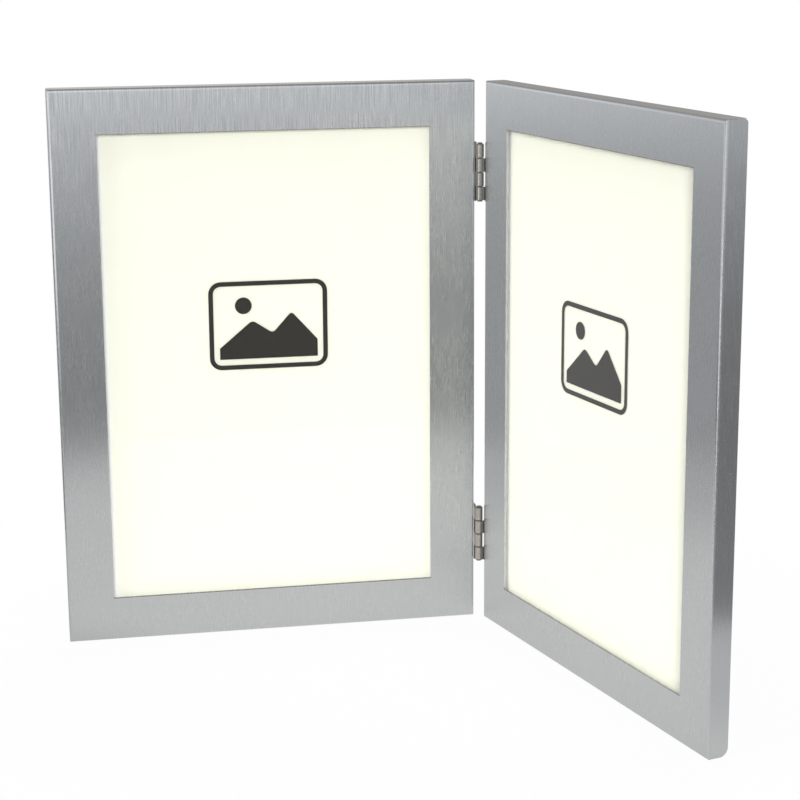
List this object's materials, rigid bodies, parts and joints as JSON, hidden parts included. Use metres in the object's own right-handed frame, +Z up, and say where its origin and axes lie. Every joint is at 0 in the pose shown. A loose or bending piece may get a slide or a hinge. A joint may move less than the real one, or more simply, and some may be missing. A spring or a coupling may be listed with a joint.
{
  "type": "hinged double photo frame",
  "caption": "Hinged double photo frame of brushed sheet metal that stands half open like a book, with a portrait window in each wing and swivelling clips on the back.",
  "frame": {"origin": "middle of the bounding box of the standing object, on the surface it stands on", "axes": "+X from the left wing to the right wing, +Y away from the viewer who faces the fronts, +Z up along the hinge pin"},
  "size_m": [0.2596, 0.1002, 0.206],
  "materials": {
    "brushed_sheet": "fine vertical brush, satin, clear anodised",
    "core": "raw fibreboard rails, mitred",
    "glass": "clear float glass, cut edges",
    "paper": "matt ivory paper with a small printed picture sign",
    "card": "plain grey-brown board",
    "board": "hardboard, smooth face",
    "velour": "black flocked velour",
    "zinc": "zinc-plated steel",
    "nickel": "nickel-plated steel, polished"
  },
  "bodies": {
    "left_frame": {"left_front_shell": "brushed_sheet", "left_hinge_rail": "core", "left_outer_rail": "core", "left_top_rail": "core", "left_bottom_rail": "core", "left_glass": "glass", "left_photo_insert": "paper", "left_filler_card": "card", "left_back_board": "board", "left_velour_backing": "velour", "left_button_screw_outer_upper": "zinc", "left_button_screw_outer_lower": "zinc", "left_button_screw_hinge_upper": "zinc", "left_button_screw_hinge_lower": "zinc", "upper_hinge_left_leaf": "nickel", "upper_hinge_left_screw_top": "nickel", "upper_hinge_left_screw_bottom": "nickel", "lower_hinge_left_leaf": "nickel", "lower_hinge_left_screw_top": "nickel", "lower_hinge_left_screw_bottom": "nickel", "upper_hinge_pin": "nickel", "lower_hinge_pin": "nickel"},
    "left_turn_button_outer_upper": {"left_turn_button_outer_upper": "zinc"},
    "left_turn_button_outer_lower": {"left_turn_button_outer_lower": "zinc"},
    "left_turn_button_hinge_upper": {"left_turn_button_hinge_upper": "zinc"},
    "left_turn_button_hinge_lower": {"left_turn_button_hinge_lower": "zinc"},
    "right_frame": {"right_front_shell": "brushed_sheet", "right_hinge_rail": "core", "right_outer_rail": "core", "right_top_rail": "core", "right_bottom_rail": "core", "right_glass": "glass", "right_photo_insert": "paper", "right_filler_card": "card", "right_back_board": "board", "right_velour_backing": "velour", "right_button_screw_outer_upper": "zinc", "right_button_screw_outer_lower": "zinc", "right_button_screw_hinge_upper": "zinc", "right_button_screw_hinge_lower": "zinc", "upper_hinge_right_leaf": "nickel", "upper_hinge_right_screw_top": "nickel", "upper_hinge_right_screw_bottom": "nickel", "lower_hinge_right_leaf": "nickel", "lower_hinge_right_screw_top": "nickel", "lower_hinge_right_screw_bottom": "nickel"},
    "right_turn_button_outer_upper": {"right_turn_button_outer_upper": "zinc"},
    "right_turn_button_outer_lower": {"right_turn_button_outer_lower": "zinc"},
    "right_turn_button_hinge_upper": {"right_turn_button_hinge_upper": "zinc"},
    "right_turn_button_hinge_lower": {"right_turn_button_hinge_lower": "zinc"}
  },
  "joints": [
    {"name": "fold", "type": "hinge", "parent": "left_frame", "child": "right_frame", "pos_m": [0, 0.04389, 0], "axis": [0, 0, 1], "range_deg": [-105, 75]},
    {"name": "left_turn_button_outer_upper_turn", "type": "hinge", "parent": "left_frame", "child": "left_turn_button_outer_upper", "pos_m": [-0.12401, -0.03992, 0.149], "axis": [-0.6088, 0.7934, 0], "range_deg": [-90, 90]},
    {"name": "left_turn_button_outer_lower_turn", "type": "hinge", "parent": "left_frame", "child": "left_turn_button_outer_lower", "pos_m": [-0.12401, -0.03992, 0.057], "axis": [-0.6088, 0.7934, 0], "range_deg": [-90, 90]},
    {"name": "left_turn_button_hinge_upper_turn", "type": "hinge", "parent": "left_frame", "child": "left_turn_button_hinge_upper", "pos_m": [-0.01246, 0.04567, 0.149], "axis": [-0.6088, 0.7934, 0], "range_deg": [-90, 90]},
    {"name": "left_turn_button_hinge_lower_turn", "type": "hinge", "parent": "left_frame", "child": "left_turn_button_hinge_lower", "pos_m": [-0.01246, 0.04567, 0.057], "axis": [-0.6088, 0.7934, 0], "range_deg": [-90, 90]},
    {"name": "right_turn_button_outer_upper_turn", "type": "hinge", "parent": "right_frame", "child": "right_turn_button_outer_upper", "pos_m": [0.12401, -0.03992, 0.149], "axis": [0.6088, 0.7934, 0], "range_deg": [-90, 90]},
    {"name": "right_turn_button_outer_lower_turn", "type": "hinge", "parent": "right_frame", "child": "right_turn_button_outer_lower", "pos_m": [0.12401, -0.03992, 0.057], "axis": [0.6088, 0.7934, 0], "range_deg": [-90, 90]},
    {"name": "right_turn_button_hinge_upper_turn", "type": "hinge", "parent": "right_frame", "child": "right_turn_button_hinge_upper", "pos_m": [0.01246, 0.04567, 0.149], "axis": [0.6088, 0.7934, 0], "range_deg": [-90, 90]},
    {"name": "right_turn_button_hinge_lower_turn", "type": "hinge", "parent": "right_frame", "child": "right_turn_button_hinge_lower", "pos_m": [0.01246, 0.04567, 0.057], "axis": [0.6088, 0.7934, 0], "range_deg": [-90, 90]}
  ]
}
